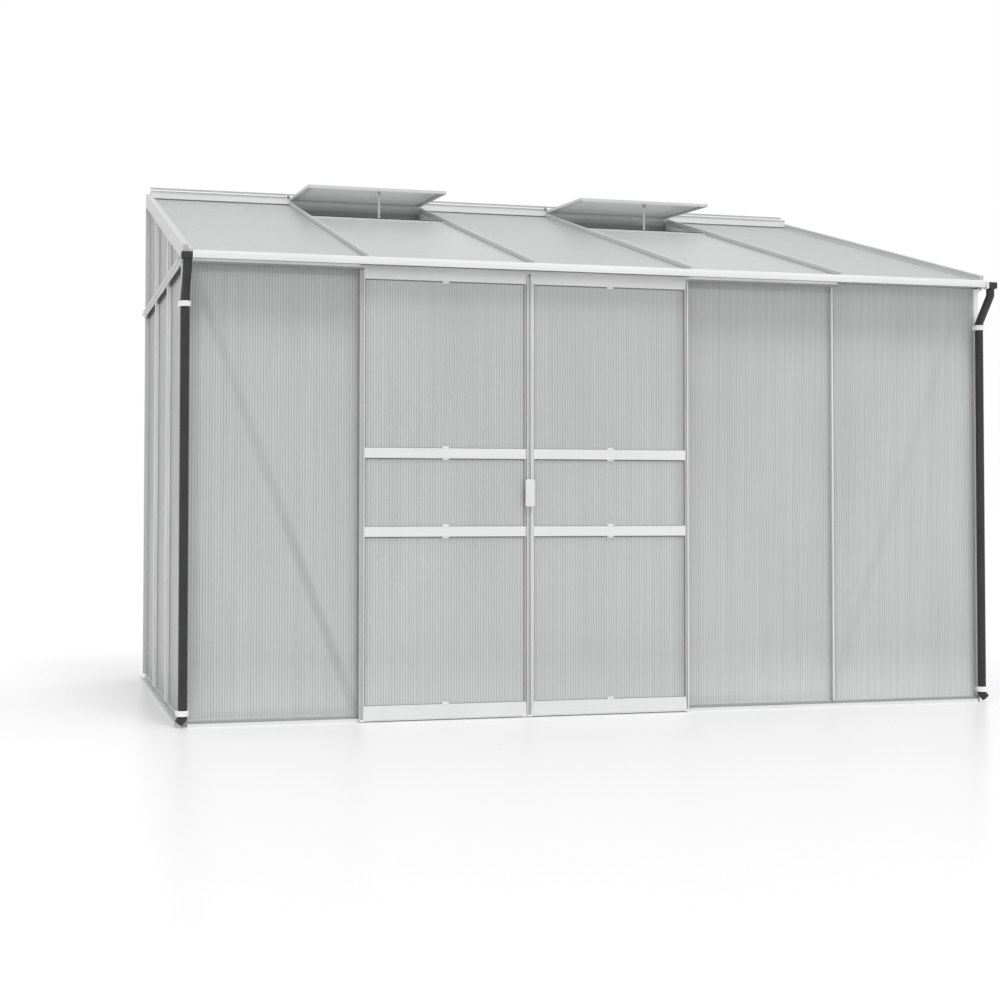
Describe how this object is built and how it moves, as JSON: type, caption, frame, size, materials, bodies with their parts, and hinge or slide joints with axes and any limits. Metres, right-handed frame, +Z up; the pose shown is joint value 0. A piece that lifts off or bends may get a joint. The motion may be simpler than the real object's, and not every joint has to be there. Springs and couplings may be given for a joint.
{
  "type": "lean-to greenhouse",
  "caption": "Wall-leaning greenhouse of slim aluminium sections and fluted clear sheet, with double sliding doors, opening roof vents, a gutter and black downpipes.",
  "frame": {"origin": "on the ground in the middle of the plan's bounding box", "axes": "+X along the front towards its right end, +Y from the front towards the wall, +Z up"},
  "size_m": [3.1846, 2.016, 2.2259],
  "materials": {
    "aluminium_sections": "satin, pale silver",
    "twinwall_sheet": "clear fluted twin-wall sheet, lightly greenish",
    "black_pipe": "black, slightly glossy",
    "white_handle": "pale grey"
  },
  "bodies": {
    "structure": {"front_sill": "aluminium_sections", "gutter": "aluminium_sections", "ridge_plate": "aluminium_sections", "door_track": "aluminium_sections", "left_door_jamb": "aluminium_sections", "right_door_jamb": "aluminium_sections", "front_mullion": "aluminium_sections", "left_sill": "aluminium_sections", "left_corner_post": "aluminium_sections", "left_wall_post": "aluminium_sections", "left_eave_rail": "aluminium_sections", "left_brace": "aluminium_sections", "left_gable_rafter": "aluminium_sections", "left_side_bar_1": "aluminium_sections", "left_side_bar_2": "aluminium_sections", "right_sill": "aluminium_sections", "right_corner_post": "aluminium_sections", "right_wall_post": "aluminium_sections", "right_eave_rail": "aluminium_sections", "right_brace": "aluminium_sections", "right_gable_rafter": "aluminium_sections", "right_side_bar_1": "aluminium_sections", "right_side_bar_2": "aluminium_sections", "roof_bar_1": "aluminium_sections", "roof_bar_2": "aluminium_sections", "roof_bar_3": "aluminium_sections", "roof_bar_4": "aluminium_sections", "vent_1_sill": "aluminium_sections", "vent_2_sill": "aluminium_sections", "front_pane_1": "twinwall_sheet", "front_pane_4": "twinwall_sheet", "front_pane_5": "twinwall_sheet", "roof_pane_1": "twinwall_sheet", "roof_pane_2": "twinwall_sheet", "roof_pane_3": "twinwall_sheet", "roof_pane_4": "twinwall_sheet", "roof_pane_5": "twinwall_sheet", "left_side_pane_1": "twinwall_sheet", "left_side_pane_2": "twinwall_sheet", "left_side_pane_3": "twinwall_sheet", "right_side_pane_1": "twinwall_sheet", "right_side_pane_2": "twinwall_sheet", "right_side_pane_3": "twinwall_sheet", "left_downpipe": "black_pipe", "right_downpipe": "black_pipe"},
    "left_door": {"left_door_frame": "aluminium_sections", "left_door_pane_bottom": "twinwall_sheet", "left_door_pane_middle": "twinwall_sheet", "left_door_pane_top": "twinwall_sheet"},
    "right_door": {"right_door_frame": "aluminium_sections", "right_door_pane_bottom": "twinwall_sheet", "right_door_pane_middle": "twinwall_sheet", "right_door_pane_top": "twinwall_sheet", "door_handle": "white_handle"},
    "vent_1": {"vent_1_frame": "aluminium_sections", "vent_1_pane": "twinwall_sheet"},
    "vent_1_stay": {"vent_1_stay": "aluminium_sections"},
    "vent_2": {"vent_2_frame": "aluminium_sections", "vent_2_pane": "twinwall_sheet"},
    "vent_2_stay": {"vent_2_stay": "aluminium_sections"}
  },
  "joints": [
    {"name": "left_door_slide", "type": "slide", "parent": "structure", "child": "left_door", "axis": [-1, 0, 0], "range_m": [0, 0.595]},
    {"name": "right_door_slide", "type": "slide", "parent": "structure", "child": "right_door", "axis": [1, 0, 0], "range_m": [0, 0.595]},
    {"name": "vent_1_hinge", "type": "hinge", "parent": "structure", "child": "vent_1", "pos_m": [-0.62, 0.955, 2.20844], "axis": [-1, 0, 0], "range_deg": [-11.6, 15]},
    {"name": "vent_1_stay_pivot", "type": "hinge", "parent": "vent_1", "child": "vent_1_stay", "pos_m": [-0.605, 0.46524, 2.15325], "axis": [-1, 0, 0], "range_deg": [-15.5, 12]},
    {"name": "vent_2_hinge", "type": "hinge", "parent": "structure", "child": "vent_2", "pos_m": [0.62, 0.955, 2.20844], "axis": [-1, 0, 0], "range_deg": [-11.6, 15]},
    {"name": "vent_2_stay_pivot", "type": "hinge", "parent": "vent_2", "child": "vent_2_stay", "pos_m": [0.635, 0.46524, 2.15325], "axis": [-1, 0, 0], "range_deg": [-15.5, 12]}
  ],
  "couplings": [
    {"joint": "vent_1_stay_pivot", "follows": "vent_1_hinge", "ratio": -1},
    {"joint": "vent_2_stay_pivot", "follows": "vent_2_hinge", "ratio": -1}
  ]
}
